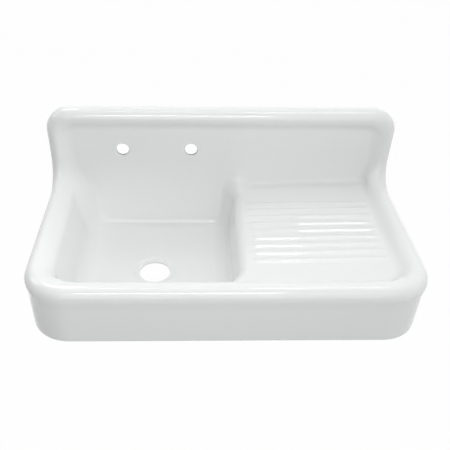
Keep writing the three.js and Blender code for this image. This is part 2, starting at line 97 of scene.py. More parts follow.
class ShellSizes(bpy.types.PropertyGroup):
    """Sizes of the casting's shell. Heights count from the crest of the front rim, depths from the wall."""

    overall_length: length("Length", "Across both end walls", 1.016)
    overall_depth: length("Depth", "From the wall to the front", 0.556)
    back_height: length("Back height", "Top of the back above the front rim", 0.220)
    apron_height: length("Apron height", "Bottom edge below the front rim", 0.164)
    wall: length("Wall", "Thickness of the casting", 0.006)
    front_corner: length("Front corner radius", "Seen from above", 0.112)
    back_corner: length("Back corner radius", "Seen from the front", 0.068)
    sweep: length("Sweep radius", "Side rims curving up into the back", 0.066)
    back_reach: length("Back reach", "Front of the back's roll to the wall", 0.046)
    roll_outer: length("Outer roll radius", "Outer edge of the rim", 0.030)
    roll_inner: length("Inner roll radius", "Inner edge of the rim", 0.024)
    rim_width: length("Rim width", "Outer face to the inner wall", 0.059)
    back_roll_width: length("Back rim width", "The same round the back", 0.046)
    overhang: length("Overhang", "How far the apron sits in behind the roll", 0.004)
    back_face: length("Back face", "Front face of the back, from the wall", -0.022)
    back_fillet: length("Back fillet", "The back's face into its roll", 0.026)
    back_inner: length("Back inner corner", "Corners of the back's face", 0.040)
    edge_round: length("Edge rounding", "Rounding of the bare lower edge", 0.0015)


class BowlSizes(bpy.types.PropertyGroup):
    """Sizes of the bowl."""

    depth: length("Depth", "Floor at the drain, below the rim's crest", 0.178)
    floor_fall: share("Floor fall", "Slope of the floor towards the drain", 0.02)
    floor_fillet: length("Floor fillet", "Floor into the left wall and the divider", 0.040)
    back_foot: length("Back foot", "Floor into the back wall", 0.022)
    left_draft: share("Left draft", "Run per unit of depth", 0.24)
    front_draft: share("Front draft", "Run per unit of depth", 0.1)
    back_draft: share("Back draft", "Run per unit of depth", 0.03)
    divider_draft: share("Divider draft", "Run per unit of depth", 0.14)
    corner: length("Corner radius", "Upright corners at the left end", 0.076)
    divider_corner: length("Divider corner radius", "Upright corners at the divider wall", 0.056)
    divider_x: length("Divider", "Top of the divider wall, at the back", 0.0495)
    divider_lip: length("Divider lip", "Rounding of the divider's top", 0.022)
    flare_start: length("Flare start", "From the front wall, where the divider starts to curve", 0.085)
    flare_length: length("Flare length", "Half of it is the radius of that curve", 0.130)
    divider_taper: share("Divider taper", "Run to the left per unit of depth", 0.025)


class BoardSizes(bpy.types.PropertyGroup):
    """Sizes of the drainboard and its ridges."""

    low: length("Low side", "Below the rim's crest, beside the bowl", 0.033)
    high: length("High side", "Below the rim's crest, at the right end", 0.024)
    fillet: length("Fillet", "Board into its walls", 0.020)
    corner: length("Corner radius", "Seen from above", 0.064)
    ridge_count: bpy.props.IntProperty(
        name="Ridges", description="Number of ridges", default=9, min=0, max=30
    )
    ridge_pitch: length("Ridge pitch", "Middle to middle", 0.0324)
    ridge_height: length("Ridge height", "Above the board", 0.0038)
    ridge_width: length("Ridge width", "Foot to foot", 0.026)
    ridge_fade: length("Ridge end", "Length over which a ridge runs out", 0.024)
    first_ridge: length("First ridge", "The one nearest the front, from the wall", -0.394)
    ridge_left: length("Ridge left end", "Where the ridges start", 0.062)
    ridge_right: length("Ridge right end", "Where the ridges stop", 0.434)


class HoleSizes(bpy.types.PropertyGroup):
    """The drain and the faucet holes."""

    drain_x: length("Drain across", "Middle of the drain", -0.1965)
    drain_y: length("Drain depth", "Middle of the drain, from the wall", -0.263)
    drain_radius: length("Drain radius", "Takes a 3 1/2 inch strainer", 0.04445)
    seat_radius: length("Seat radius", "Recess round the drain", 0.058)
    seat_depth: length("Seat depth", "Depth of the recess", 0.0035)
    faucet_spacing: length("Faucet centres", "8 inches", 0.2032)
    faucet_middle: length("Faucet middle", "Half way between the holes", -0.192)
    faucet_height: length("Faucet height", "Above the rim's crest", 0.088)
    faucet_radius: length("Faucet hole radius", "Takes a faucet's shank", 0.0190)
    lip: length("Drain lip", "Rounding of the enamel into the drain hole", 0.002)
    faucet_lip: length("Faucet lip", "Rounding of the enamel into a faucet hole", 0.0035)
    boss: length("Boss", "Thickness of the wall at a faucet hole", 0.0072)


class MountSizes(bpy.types.PropertyGroup):
    """The lugs, the rail and its screws, placed from the middle of the rail's wall face."""

    rail_rise: length("Rail rise", "Middle of the rail above the rim's crest", 0.150)
    rail_length: length("Rail length", "Along the wall", rail_high[0] - rail_low[0])
    rail_height: length("Rail height", "Of its plate", rail_high[2] - rail_low[2])
    lug_spacing: length("Lug spacing", "Middle to middle", 0.460)
    lug_width: length("Lug width", "Along the rail", 0.060)
    lug_web: length("Lug web", "Thickness of the part over the rail", 0.011)
    lug_flare: length("Lug flare", "How deep the foot of the web is, and how far it stands out", 0.005)
    lug_spread: length("Lug spread", "How far that foot reaches above and below the web", 0.006)
    leg: length("Lug leg", "Thickness of the leg in the gutter", 0.005)
    slot_width: length("Gutter", "Between the rail's plate and its lip", 0.006)
    lip_height: length("Rail lip", "Above the gutter's floor", 0.024)
    lug_rise: length("Lug rise", "Web above the rail's lip", 0.002)
    seat_gap: length("Seat gap", "Stands in for contact", 0.0003)
    plate: length("Plate", "Thickness of the rail", 0.004)
    screw_rise: length("Screw rise", "Above the rail's middle", 0.017)
    screw_radius: length("Screw radius", "Over the thread", 0.004)
    screw_length: length("Screw length", "Under the head", 0.050)
    screw_gap: length("Screw gap", "Between a screw and the holes it passes", 0.0005)
    head_radius: length("Head radius", "Corner to corner of the hexagon, halved", 0.0075)
    head_height: length("Head height", "Of the hexagon", 0.005)
    washer_radius: length("Washer radius", "Outside", 0.010)
    washer: length("Washer", "Thickness", 0.0016)
    thread_pitch: length("Thread pitch", "Along the screw", 0.003)


class FinishSettings(bpy.types.PropertyGroup):
    """Colours of the finishes."""

    enamel: colour("Enamel", "Fused white glass", (0.875, 0.885, 0.88))
    iron: colour("Iron", "Ground-coated cast iron behind the enamel", (0.055, 0.058, 0.062))
    zinc: colour("Zinc", "Plated steel", (0.56, 0.57, 0.58))


class StageSettings(bpy.types.PropertyGroup):
    """The camera and the light."""

    camera_x: length("Camera across", "From the rail's middle", -0.10125)
    camera_y: length("Camera depth", "From the wall", -1.55399)
    camera_z: length("Camera height", "From the rail's middle", 0.78511)
    yaw: share("Yaw", "Degrees to the right", 2.2594)
    pitch: share("Pitch", "Degrees down", 37.6636)
    roll: share("Roll", "Degrees", 1.3888)
    lens: share("Lens", "Focal length in millimetres", 46.402)
    shift_x: share("Shift across", "Share of the frame", 0.0432)
    shift_y: share("Shift up", "Share of the frame", 0.0316)
    floor_drop: length("Floor", "Height of the floor below the rail", -1.05)
    floor_white: share("Floor white", "Share of plain white in the floor as it is seen", 0.98)
    even: share("Even light", "Strength of the surroundings on every side", 0.01)
    from_above: share("From above", "Added to the surroundings straight above, and less beside it", 0.01)
    from_right: share("From the right", "Added to the surroundings at the right", 0.88)
    from_behind: share("From behind", "Added to the surroundings behind", 1.20)
    front_light: share("Light in front", "Power of the soft light above and in front", 7.2)
    low_light: share("Low light in front", "Power of the soft light low in front", 4.9)
    left_light: share("Light at the left", "Power of the soft light at the left", 3.6)
    rear_light: share("Light at the rear left", "Power of the soft light above, behind and at the left", 4.8)
    front_strip: share("Front strip", "Power of the narrow light that draws the long highlights", 7.4)
    low_strip: share("Low strip", "Power of the narrow light further in front, which doubles them", 3.0)
    bowl_strip: share("Bowl strip", "Power of the narrow light over the bowl", 1.2)
    board_strip: share("Board strip", "Power of the narrow light over the right end", 1.7)
    board_box: share("Board light", "Power of the small light over the drainboard", 1.3)


class SinkSettings(bpy.types.PropertyGroup):
    """All the sizes and colours of the sink."""

    shell: bpy.props.PointerProperty(type=ShellSizes)
    bowl: bpy.props.PointerProperty(type=BowlSizes)
    board: bpy.props.PointerProperty(type=BoardSizes)
    holes: bpy.props.PointerProperty(type=HoleSizes)
    mount: bpy.props.PointerProperty(type=MountSizes)
    finish: bpy.props.PointerProperty(type=FinishSettings)
    stage: bpy.props.PointerProperty(type=StageSettings)


# ---- rounded joins of half-spaces: negative is inside ----


def smooth(low, high, value):
    """Eases from 0 at low to 1 at high: t squared times three less two t."""
    t = np.clip((value - low) / (high - low), 0.0, 1.0)
    return t * t * (3.0 - 2.0 * t)


def join_round(a, b, radius):
    """The union of two half-spaces, its inner corner rounded to the radius."""
    corner = np.hypot(np.maximum(radius - a, 0.0), np.maximum(radius - b, 0.0))
    return np.maximum(radius, np.minimum(a, b)) - corner


def meet_round(a, b, radius):
    """The intersection of two half-spaces, its outer corner rounded to the radius."""
    corner = np.hypot(np.maximum(radius + a, 0.0), np.maximum(radius + b, 0.0))
    return np.minimum(-radius, np.maximum(a, b)) + corner


class Face:
    """The enamelled face of the shell as the zero of one function of a point, negative in the metal."""

    def __init__(self, sink):
        self.shell, self.bowl, self.board, self.holes = sink.shell, sink.bowl, sink.board, sink.holes
        self.half = self.shell.overall_length / 2

    def ridges(self, x, y):
        """Height of the ridges: a raised cosine across each, eased to nothing over its ends."""
        board = self.board
        turn = (y - board.first_ridge) / board.ridge_pitch
        near = np.clip(np.round(turn), 0, board.ridge_count - 1)
        across = np.abs(y - board.first_ridge - near * board.ridge_pitch) / (board.ridge_width / 2)
        crown = 0.5 + 0.5 * np.cos(np.pi * np.clip(across, 0.0, 1.0))
        left_end = smooth(0.0, board.ridge_fade, x - board.ridge_left)
        right_end = smooth(0.0, board.ridge_fade, board.ridge_right - x)
        return board.ridge_height * crown * left_end * right_end

    def deck(self, x, y):
        """Height of the drainboard: a plane rising to the right, with the ridges on it."""
        board = self.board
        along = (x - self.bowl.divider_x) / (self.half - self.shell.rim_width - self.bowl.divider_x)
        return -board.low + (board.low - board.high) * along + self.ridges(x, y)

    def floor(self, x, y):
        """Height of the bowl's floor: a shallow cone down to the drain, and the recess of its seat."""
        away = np.hypot(x - self.holes.drain_x, y - self.holes.drain_y) - self.holes.seat_radius
        seat = self.holes.seat_depth * (1.0 - smooth(*SEAT_FADE, away))
        return -self.bowl.depth + self.bowl.floor_fall * np.maximum(away, 0.0) - seat

    def block(self, x, y, z):
        """Outside of the block the sink fills: plan outline, top edge, upswept crest and roll."""
        s = self.shell
        plan = meet_round(np.abs(x) - self.half, -s.overall_depth - y, s.front_corner)
        outline = meet_round(plan, z - s.back_height, s.back_corner)
        level = join_round(z, -s.back_reach - y, s.sweep)
        behind = s.overhang * smooth(*ROLL_FADE, -level / s.roll_outer)
        return meet_round(outline + behind, level, s.roll_outer)

    def near_divider(self, x):
        """The share of the divider's own corner radius at a distance across: all of it at its wall."""
        past = x - self.bowl.divider_x
        return smooth(*TO_DIVIDER, past) * (1.0 - smooth(*PAST_DIVIDER, past))

    def back_blend(self, x, z):
        """Radius of the inner corner at the back: wide in the bowl's upright corners, narrow at the foot."""
        s = self.shell
        in_corner = 1.0 - smooth(*LEFT_FADE, x + self.half - s.rim_width)
        low = 1.0 - smooth(*LOW_FADE, z)
        high = smooth(*HIGH_FADE, z)
        foot = np.where(x > self.bowl.divider_x, self.board.fillet, self.bowl.back_foot)
        corner = s.back_fillet + (self.bowl.corner - s.back_fillet) * low
        level = foot + (self.bowl.divider_corner - foot) * self.near_divider(x)
        return (level + (corner - level) * in_corner) * (1.0 - high) + s.back_fillet * high

    def air(self, x, y, z):
        """The air over the drainboard, in the bowl and before the back: drafted walls, rounded together."""
        s, bowl = self.shell, self.bowl
        drop = np.maximum(-z, 0.0)
        side = s.back_roll_width + (s.rim_width - s.back_roll_width) * (1.0 - smooth(0.0, s.sweep, z))
        left = -self.half + side + bowl.left_draft * drop - x
        right = x - self.half + side
        front = -s.overall_depth + s.rim_width + bowl.front_draft * drop - y
        back = y - s.back_face + bowl.back_draft * drop
        flare = np.maximum(front + bowl.flare_start, 0.0) ** 2 / bowl.flare_length
        taper = bowl.divider_taper * (s.back_face - y)
        divider = x - bowl.divider_x + bowl.divider_draft * drop + taper + flare
        above = z - s.back_height + s.back_roll_width
        top = join_round(self.deck(x, y) - z, divider, bowl.divider_lip)
        left_end = meet_round(left, front, bowl.corner)
        right_end = meet_round(right, front, self.board.corner)
        ends = meet_round(np.maximum(left_end, right_end), above, s.back_inner)
        deep = smooth(*DEEP_FADE, z)
        blend = self.board.fillet + (bowl.divider_corner - self.board.fillet) * deep
        pocket = meet_round(top, ends, blend)
        hollow = meet_round(pocket, self.floor(x, y) - z, bowl.floor_fillet)
        return meet_round(hollow, back, self.back_blend(x, z))

    def __call__(self, points):
        """The block less the air, the roll's inner edge rounded more along the bowl's left wall."""
        x, y, z = points[:, 0], points[:, 1], points[:, 2]
        soft = (1.0 - smooth(*SOFT_FADE, x + self.half)) * (1.0 - smooth(0.0, self.shell.sweep, z))
        edge = self.shell.roll_inner * (1.0 + soft)
        return meet_round(self.block(x, y, z), -self.air(x, y, z), edge)

    def slope(self, points):
        """The function's gradient, by central differences."""
        steps = np.eye(3) * PROBE
        return np.stack([(self(points + step) - self(points - step)) / (2 * PROBE) for step in steps], axis=1)

    def settle(self, points, free, turns):
        """Newton steps onto the zero along the gradient, but not along the axes a point is held on."""
        for _ in range(turns):
            slope = self.slope(points) * free
            size = np.maximum((slope**2).sum(axis=1), 0.2)
            points = points - slope * (self(points) / size)[:, None]
        return points


# ---- rough points of the face, on a grid unrolled along the crest ----


def runs(*stretches):
    """Joins evenly divided stretches, each (from, to, count), into one list of stops."""
    parts = [np.linspace(start, end, count, endpoint=False) for start, end, count in stretches]
    return np.concatenate([*parts, [stretches[-1][1]]])


def even_parts(count):
    """Shares of a way, evenly from the first step to the last."""
    return np.arange(1, count + 1) / count


def corner_stops():
    """Distances past the inner line of the rim that crowd where a corner is round."""
    coarse = [0.0, 0.005, 0.013, 0.026, 0.045]
    return np.interp(np.arange(CORNER_LINES + 1) / COARSE, np.arange(len(coarse)), coarse)


def open_corner(a, b, span, radius, inset):
    """Moves points near a right-angled corner onto an arc. a and b are the distances from its two sides. The
    smaller one tells a point's line, which goes to the inset, and the point keeps its share of the arc."""
    along = np.abs(a - b)
    on_arc = along < span
    turn = np.pi / 4 * (1.0 - along / np.maximum(span, 1e-9))
    near = np.where(on_arc, inset + radius * (1.0 - np.cos(turn)), inset)
    far = np.where(on_arc, inset + radius * (1.0 - np.sin(turn)), np.maximum(a, b))
    return np.where(a <= b, near, far), np.where(a <= b, far, near)


class Layout:
    """Where the grid lines of the face run, before the points are settled on it. Every count of lines is a
    multiple of COARSE, so that the back's lines pass along the blocks' edges too."""

    inner_drop = 0.022  # depth under the crest at which the grid's outer lines start
    inner_gap = 0.001  # between the rim's inner wall and the grid's outer lines
    hole_half = 0.027  # half the side of the block of the grid round a faucet hole
    hole_lines = 12  # grid lines along that side
    lip_shift, lip_run = 0.014, 0.034  # end of the close columns past the divider's top, and their width
    board_run, board_rows = 0.325, 120  # length and number of the even rows over the drainboard
    foot_rows = (15, 21)  # rows from there to the middle of the sweep, and on to the faucet holes' blocks
    bowl_rows = 27  # how many of these the bowl's block has

    def __init__(self, sink):
        self.face = Face(sink)
        self.sink = sink
        s, holes = sink.shell, sink.holes
        self.half = s.overall_length / 2
        self.inner = s.rim_width + self.inner_gap
        self.sweep_start_y = -s.back_reach - s.sweep
        self.sweep_start = s.overall_depth + self.sweep_start_y
        self.sweep_end = self.sweep_start + s.sweep * np.pi / 2
        self.top_edge = self.sweep_end + s.back_height - s.sweep
        self.edge_turn = math.atan2(s.back_reach + s.sweep, s.sweep + s.apron_height)
        self.make_columns(holes)
        self.make_rows(holes)

    def make_columns(self, holes):
        """Grid lines across: crowded at the ends and the divider's lip, with a block at each faucet hole."""
        stops = corner_stops()
        left, right = -self.half + self.inner, self.half - self.inner
        self.lip_x = self.sink.bowl.divider_x + self.lip_shift
        spots = [holes.faucet_middle + side * holes.faucet_spacing / 2 for side in (-1, 1)]
        blocks = [spot + side * self.hole_half for spot in spots for side in (-1, 1)]
        ends = [left + stops[-1], *blocks, self.lip_x - self.lip_run, self.lip_x, right - stops[-1]]
        counts = [15, self.hole_lines, 27, self.hole_lines, 18, 12, 54]
        self.columns = np.concatenate(
            [left + stops[:-1], runs(*zip(ends[:-1], ends[1:], counts)), right - stops[-2::-1]]
        )
        a, b, c, d, _, self.lip_column, _ = (CORNER_LINES + np.cumsum(counts)).tolist()
        self.hole_columns = [(a, b), (c, d)]

    def make_rows(self, holes):
        """Grid lines from the front and up the back: v along the crest, y and height on board and back."""
        s, board = self.sink.shell, self.sink.board
        stops = corner_stops()
        front = self.inner + stops
        low_z, high_z = holes.faucet_height - self.hole_half, holes.faucet_height + self.hole_half
        foot_start = front[-1] + self.board_run
        edge = self.sweep_start + s.sweep * self.edge_turn
        foot_end = self.sweep_end + low_z - s.sweep
        foot_v = runs((foot_start, edge, self.foot_rows[0]), (edge, foot_end, self.foot_rows[1]))
        flat_v = np.linspace(front[-1], foot_start, self.board_rows + 1)
        flat = s.back_face - board.fillet - (foot_start - s.overall_depth)
        turn = board.fillet * np.pi / 2
        rise = low_z + board.low - board.fillet
        path = np.linspace(0.0, flat + turn + rise, len(foot_v))
        angle = np.clip((path - flat) / board.fillet, 0.0, np.pi / 2)
        foot_y = foot_start - s.overall_depth + np.minimum(path, flat) + board.fillet * np.sin(angle)
        foot_up = board.fillet * (1.0 - np.cos(angle)) + np.maximum(path - flat - turn, 0.0)
        face_z = np.linspace(low_z, high_z, self.hole_lines + 1)
        top_z = s.back_height - self.inner - stops[::-1]
        up_z = np.concatenate([face_z[1:], top_z[1:]])
        self.row_v = np.concatenate([front, flat_v[1:], foot_v[1:], self.sweep_end + up_z - s.sweep])
        flat_y = np.concatenate([front, flat_v[1:-1]]) - s.overall_depth
        self.row_y = np.concatenate([flat_y, foot_y, np.full(len(up_z), s.back_face)])
        self.row_up = np.concatenate([np.zeros(len(flat_y)), foot_up, up_z + board.low])
        leaving = 1.0 - np.linspace(0, 1, len(foot_v)) ** 2
        self.on_deck = np.concatenate([np.ones(len(flat_y)), leaving, np.zeros(len(up_z))])
        foot_row = CORNER_LINES + self.board_rows
        hole_row = foot_row + sum(self.foot_rows)
        self.back_row = foot_row + self.bowl_rows
        self.hole_rows = (hole_row, hole_row + self.hole_lines)

    def unrolled(self, x, v, inset=None):
        """Where grid points lie on the unrolled crest, as they are or with their line moved to an inset."""
        s = self.sink.shell
        near_top = self.top_edge - v < v
        corner = np.where(near_top, s.back_corner, s.front_corner)
        from_side = self.half - np.abs(x)
        from_end = np.where(near_top, self.top_edge - v, v)
        line = np.minimum(from_side, from_end)
        level = line if inset is None else np.full_like(line, inset)
        radius = np.maximum(corner - level, 0.0)
        side, end = open_corner(from_side, from_end, corner - line, radius, level)
        return np.sign(x) * (self.half - side), np.where(near_top, self.top_edge - end, end)

    def crest_frame(self, x, v, depth):
        """Points at an arc length v of the crest and a depth under it: level, round the sweep, then up."""
        s = self.sink.shell
        turn = np.clip((v - self.sweep_start) / s.sweep, 0.0, np.pi / 2)
        before = np.minimum(v - self.sweep_start, 0.0)
        after = np.maximum(v - self.sweep_end, 0.0)
        reach = s.sweep + depth
        y = self.sweep_start_y + before + reach * np.sin(turn)
        z = s.sweep - reach * np.cos(turn) + after
        return np.stack(np.broadcast_arrays(x, y, z), axis=-1)

    def edge_depth(self, v):
        """How deep under the crest the apron's bottom edge or the wall lies."""
        s = self.sink.shell
        turn = np.clip((v - self.sweep_start) / s.sweep, 1e-6, np.pi / 2)
        to_floor = (s.sweep + s.apron_height) / np.maximum(np.cos(turn), 1e-6)
        to_wall = (s.sweep + s.back_reach) / np.sin(turn)
        return np.minimum(to_floor, to_wall) - s.sweep

    def grid_points(self):
        """The grid over the drainboard and the back, its outer lines a little down the rim's inner side."""
        x, v = np.meshgrid(self.columns, self.row_v)
        moved_x, moved_v = self.unrolled(x, v)
        shift = moved_v - v
        flat = self.on_deck[:, None] > 0.5
        y = self.row_y[:, None] + np.where(flat, shift, 0.0)
        z = -self.sink.board.low + self.row_up[:, None] + np.where(flat, 0.0, shift)
        z = z + (self.face.deck(moved_x, y) + self.sink.board.low) * self.on_deck[:, None]
        points = np.stack([moved_x, y, z], axis=-1)
        rim = np.zeros(x.shape, bool)
        rim[[0, -1]] = True
        rim[:, [0, -1]] = True
        points[rim] = self.crest_frame(moved_x, moved_v, self.inner_drop)[rim]
        return points


def walk_round(from_column, to_column, from_row, to_row):
    """Rows and columns met on a walk round a block of the grid: front, right, back and left edge."""
    across, up = np.arange(from_column, to_column), np.arange(from_row, to_row)
    level, upright = np.ones_like(across), np.ones_like(up)
    columns = np.concatenate([across, upright * to_column, across[::-1] + 1, upright * from_column])
    rows = np.concatenate([level * from_row, up, level * to_row, up[::-1] + 1])
    return rows, columns


class Skin:
    """Collects the face's points, what lies behind them, and the index grids that join them."""

    def __init__(self):
        self.points, self.behind, self.free, self.fixed = [], [], [], []
        self.patches = []
        self.count = 0

    def add(self, points, behind=None, free=(1, 1, 1), fixed=False):
        """Adds points and returns their numbers. behind is given only for points that aren't settled."""
        flat = points.reshape(-1, 3)
        self.points.append(flat)
        self.behind.append(np.full_like(flat, np.nan) if behind is None else behind.reshape(-1, 3))
        self.free.append(np.broadcast_to(np.asarray(free, float), flat.shape))
        self.fixed.append(np.broadcast_to(fixed, len(flat)))
        numbers = np.arange(self.count, self.count + len(flat))
        self.count += len(flat)
        return numbers.reshape(points.shape[:-1])

    def add_lip(self, edge, inward, along, radius, behind):
        """Adds rings over a rounded edge and returns their numbers. They lie on a quarter circle, from a
        radius before the edge to a radius inward of it."""
        rings = []
        for angle in map(math.radians, LIP_DEGREES):
            arc = math.cos(angle) * inward + math.sin(angle) * along
            rings.append(self.add(edge + (inward + along - arc) * radius, behind, (0, 0, 0), True))
        return rings

    def add_rings(self, first, rings):
        """Joins a closed loop of points to the rings added inside or outside it, all given by numbers."""
        stack = np.stack([first, *rings])
        self.patches.append((np.concatenate([stack, stack[:, :1]], axis=1), None))


def quads_of(index, cells):
    """Corner numbers of the cells of an index grid, as one array of quads."""
    quads = np.stack([index[:-1, :-1], index[:-1, 1:], index[1:, 1:], index[1:, :-1]], axis=-1)
    return quads[cells] if cells is not None else quads.reshape(-1, 4)


def unit(vectors):
    """Vectors scaled to length one."""
    return vectors / np.maximum(np.linalg.norm(vectors, axis=-1, keepdims=True), 1e-12)


def add_grid(layout, skin):
    """Adds the grid, without what lies inside the bowl's and the faucet holes' blocks."""
    points = layout.grid_points()
    used = np.ones(points.shape[:2], bool)
    cells = np.ones((points.shape[0] - 1, points.shape[1] - 1), bool)
    blocks = [(0, layout.lip_column, 0, layout.back_row)]
    blocks += [(*columns, *layout.hole_rows) for columns in layout.hole_columns]
    for from_column, to_column, from_row, to_row in blocks:
        used[from_row + 1 : to_row, from_column + 1 : to_column] = False
        cells[from_row:to_row, from_column:to_column] = False
    index = np.full(used.shape, -1)
    index[used] = skin.add(points[used])
    skin.patches.append((index, cells))
    return index


def add_apron(layout, skin, index):
    """Adds rings round the whole grid, over the roll and down the apron, and returns the last of them."""
    face, s = layout.face, layout.sink.shell
    rows, columns = walk_round(0, index.shape[1] - 1, 0, index.shape[0] - 1)
    x, v = layout.columns[columns], layout.row_v[rows]
    # Each ring is an inset and a depth on the roll, or a share of the way down the apron.
    sections = [(s.rim_width - s.roll_inner * (1 - math.sin(a)), s.roll_inner * (1 - math.cos(a)), None)
                for a in np.radians([72, 57, 42, 27, 12])]
    sections += [(s.roll_outer * (1 - math.cos(a)), s.roll_outer * (1 - math.sin(a)), None)
                 for a in np.radians(np.arange(90, -1, -9))]
    sections += [(0.0, None, part**1.3) for part in even_parts(17)]
    rings = []
    out_x, out_v = layout.unrolled(x, v, 0.0)
    # The bottom edge keeps its height, the edge at the wall its depth, and where they meet both.
    turn = (out_v - layout.sweep_start) / s.sweep - layout.edge_turn
    free = np.stack([np.ones(len(x)), turn <= -1e-5, turn >= 1e-5], axis=1)
    for inset, depth, part in sections:
        ring_x, ring_v = layout.unrolled(x, v, inset)
        if depth is None:
            depth = s.roll_outer + (layout.edge_depth(ring_v) - s.edge_round - s.roll_outer) * part
        rings.append(skin.add(layout.crest_frame(ring_x, ring_v, depth)))
    edge = face.settle(layout.crest_frame(out_x, out_v, layout.edge_depth(out_v)), free, SETTLE_TURNS)
    inward = -unit(face.slope(edge) * free)
    along = unit(face.settle(skin.points[-1], np.ones(3), SETTLE_TURNS) - edge)
    skin.points[-1] = edge + along * s.edge_round
    skin.fixed[-1] = np.ones(len(edge), bool)
    skin.behind[-1] = skin.points[-1] - unit(face.slope(skin.points[-1])) * s.wall
    rings += skin.add_lip(edge, inward, along, s.edge_round, edge + inward * s.wall)
    skin.add_rings(index[rows, columns], rings)
    return rings[-1]


def add_bowl(layout, skin, index):
    """Adds rings inside the bowl's block, down its walls and in to the drain, and returns the last."""
    s, bowl, holes = layout.sink.shell, layout.sink.bowl, layout.sink.holes
    rows, columns = walk_round(0, layout.lip_column, 0, layout.back_row)
    start = skin.points[0][index[rows, columns]]
    share_x = (layout.columns[columns] - layout.columns[0]) / (layout.lip_x - layout.columns[0])
    y = layout.row_y[rows]
    share_y = (y - layout.row_y[0]) / (s.back_face - layout.row_y[0])
    radius = bowl.corner * 0.8  # of the rough rings' corners, before they are settled

    def bowl_ring(drop, inset):
        """A ring at a depth in the bowl, an inset in from its drafted walls, with its corners on arcs."""
        left = -layout.half + s.rim_width + bowl.left_draft * drop + inset
        right = bowl.divider_x - bowl.divider_draft * drop - inset
        front = -s.overall_depth + s.rim_width + bowl.front_draft * drop + inset
        back = s.back_face - bowl.back_draft * drop - inset
        from_x = np.minimum(share_x, 1 - share_x) * (right - left)
        from_y = np.minimum(share_y, 1 - share_y) * (back - front)
        near_x, near_y = open_corner(from_x, from_y, radius, radius, 0.0)
        ring_x = np.where(share_x < 0.5, left + near_x, right - near_x)
        ring_y = np.where(share_y < 0.5, front + near_y, back - near_y)
        return np.stack([ring_x, ring_y, np.full(len(ring_x), -drop)], axis=1)

    top, foot = 0.046, bowl.depth - bowl.floor_fillet  # the walls' straight part
    first = bowl_ring(top, 0.0)
    rings = [start + (first - start) * part for part in even_parts(9)]
    rings += [bowl_ring(drop, 0.0) for drop in top + (foot - top) * even_parts(15)]
    for angle in np.radians(np.linspace(82.5, 0.0, 12)):
        drop = bowl.depth - bowl.floor_fillet * (1 - math.cos(angle))
        rings.append(bowl_ring(drop, bowl.floor_fillet * (1 - math.sin(angle))))
    centre = np.array([holes.drain_x, holes.drain_y, -bowl.depth])
    direction = unit((rings[-1] - centre) * [1, 1, 0])
    # The last free ring lies 8 mm outside the drain's recess. From 6 mm on, the rings keep their radius.
    last, outer = rings[-1], centre + direction * (holes.seat_radius + 0.008)
    rings += [last + (outer - last) * part for part in even_parts(15)]
    numbers = [skin.add(ring) for ring in rings]
    for away in np.linspace(holes.seat_radius + 0.006, holes.drain_radius + holes.lip, 9):
        numbers.append(skin.add(centre + direction * away, free=(0, 0, 1), fixed=True))
    edge = centre - [0, 0, holes.seat_depth] + direction * holes.drain_radius
    numbers += skin.add_lip(edge, np.array([0, 0, -1.0]), direction, holes.lip, edge - [0, 0, s.wall])
    skin.add_rings(index[rows, columns], numbers)
    return numbers[-1]


def add_faucet_hole(layout, skin, index, side, block):
    """Adds rings from a block of the grid in to a faucet hole and over its lip, and returns the last."""
    holes = layout.sink.holes
    rows, columns = walk_round(*block, *layout.hole_rows)
    start = skin.points[0][index[rows, columns]]
    across = holes.faucet_middle + side * holes.faucet_spacing / 2
    middle = np.array([across, layout.sink.shell.back_face, holes.faucet_height])
    direction = unit((start - middle) * [1, 0, 1])
    way = middle + direction * (holes.faucet_radius + holes.faucet_lip) - start
    numbers = [skin.add(start + way * part, free=(0, 1, 0), fixed=True) for part in even_parts(3)]
    edge, inward = middle + direction * holes.faucet_radius, np.array([0, 1.0, 0])
    numbers += skin.add_lip(edge, inward, direction, holes.faucet_lip, edge + inward * holes.boss)
    skin.add_rings(index[rows, columns], numbers)
    skin.fixed[0] = skin.fixed[0].copy()
    skin.fixed[0][index[rows, columns]] = True
    return numbers[-1]


def shell_skin(sink):
    """The whole face as rough points, with the loops along its edges: apron, drain and faucet holes."""
    layout, skin = Layout(sink), Skin()
    index = add_grid(layout, skin)
    loops = [add_apron(layout, skin, index), add_bowl(layout, skin, index)]
    for side, block in zip((-1, 1), layout.hole_columns):
        loops.append(add_faucet_hole(layout, skin, index, side, block))
    return layout.face, skin, loops


def evened(face, points, free, fixed, quads, turns):
    """Moves each free point half way to the mean of its neighbours, and settles it on the face again."""
    first, second = quads.ravel(), np.roll(quads, -1, axis=1).ravel()
    ends, others = np.concatenate([first, second]), np.concatenate([second, first])
    count = np.maximum(np.bincount(ends, minlength=len(points)), 1)
    for _ in range(turns):
        totals = [np.bincount(ends, points[others, axis], len(points)) for axis in range(3)]
        mean = np.stack(totals, axis=1) / count[:, None]
        moved = points + (mean - points) * 0.5 * free
        points = np.where(fixed[:, None], points, face.settle(moved, free, 1))
    return points


def oriented(face, points, quads):
    """The quads with their corners in the order that makes them face the air."""
    corner = points[quads]
    normal = np.cross(corner[:, 2] - corner[:, 0], corner[:, 3] - corner[:, 1])
    facing = (normal * face.slope(corner.mean(axis=1))).sum()
    return quads if facing > 0 else quads[:, ::-1]


def edge_strip(outer, inner, quads):
    """Triangles between a fine loop of the face and the loop behind it, which has every third of its points.
    Both are turned round if the face's quads run along them the same way."""
    if ((quads == outer[0]) & (np.roll(quads, -1, axis=1) == outer[1])).any():
        outer, inner = np.roll(outer[::-1], 1), np.roll(inner[::-1], 1)
    a = [np.roll(outer, -step)[::COARSE] for step in range(COARSE + 1)]
    b, c = inner, np.roll(inner, -1)
    fans = [(a[0], a[1], b), (a[1], c, b), (a[1], a[2], c), (a[2], a[3], c)]
    return np.concatenate([np.stack(fan, axis=1) for fan in fans])


